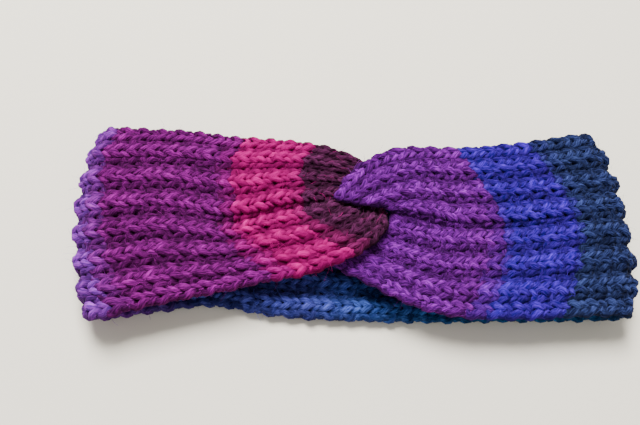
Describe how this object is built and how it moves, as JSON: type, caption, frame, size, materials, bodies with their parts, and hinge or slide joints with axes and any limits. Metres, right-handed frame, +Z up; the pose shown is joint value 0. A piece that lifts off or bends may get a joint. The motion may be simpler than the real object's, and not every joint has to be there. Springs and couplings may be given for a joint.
{
  "type": "ear warmer headband",
  "caption": "Chunky rib-knitted ear warmer headband lying flat, one looped strip whose ends cross in a twist at the front.",
  "frame": {"origin": "centre of the bounding box in X and Y, on the surface that the headband lies on", "axes": "+X along the band towards its navy end, +Y away from the viewer of the twist, +Z up out of the surface, through the front layer"},
  "size_m": [0.2502, 0.0916, 0.0255],
  "materials": {
    "gradient_wool": "matte knitted wool, colours change along the strip",
    "seam_wool": "matte wool yarn"
  },
  "bodies": {
    "root": {"knit_strip": "gradient_wool", "twist_seam": "seam_wool"}
  },
  "joints": []
}
